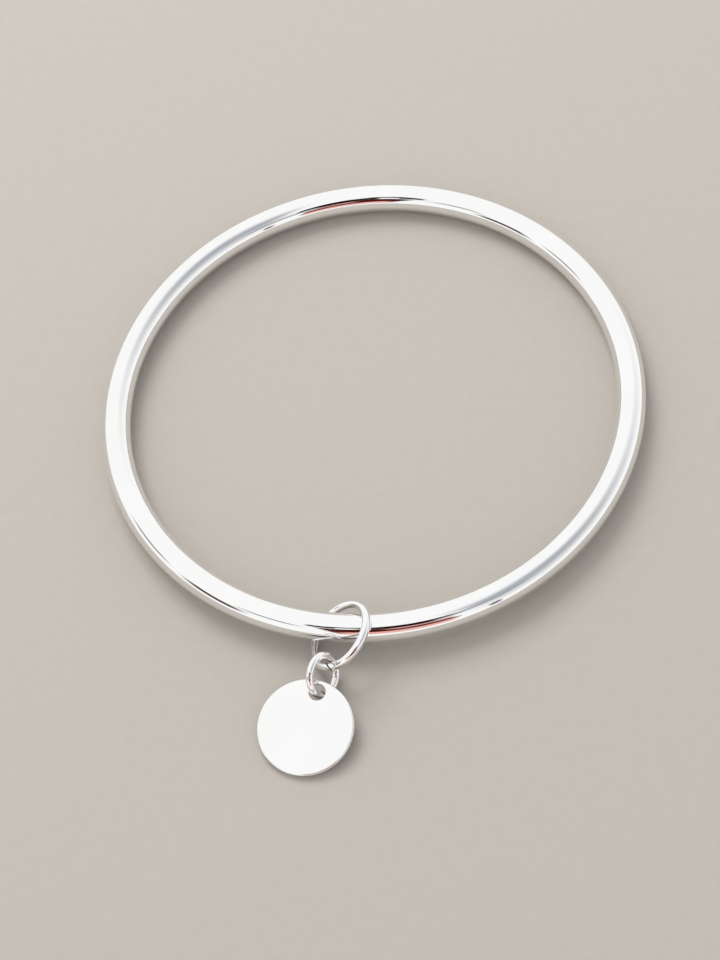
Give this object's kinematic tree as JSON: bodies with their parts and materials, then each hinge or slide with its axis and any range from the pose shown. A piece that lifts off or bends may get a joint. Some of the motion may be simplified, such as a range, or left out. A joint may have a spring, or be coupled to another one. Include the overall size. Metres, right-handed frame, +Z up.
{
  "type": "charm bangle",
  "caption": "Closed round wrist bangle with a blank round disc charm hung from it on linked wire jump rings, laid flat.",
  "frame": {"origin": "middle of the wrist opening, on the flat surface that the bangle lies on", "axes": "+Z up through the wrist opening, -Y from the middle of the opening towards the charm, +X to the right seen from the charm"},
  "size_m": [0.0726, 0.0902, 0.0065],
  "materials": {
    "bangle": "polished",
    "large_jump_ring": "polished",
    "small_jump_ring": "polished",
    "disc_charm": "polished"
  },
  "bodies": {
    "root": {"bangle": "bangle", "large_jump_ring": "large_jump_ring", "small_jump_ring": "small_jump_ring", "disc_charm": "disc_charm"}
  },
  "joints": []
}
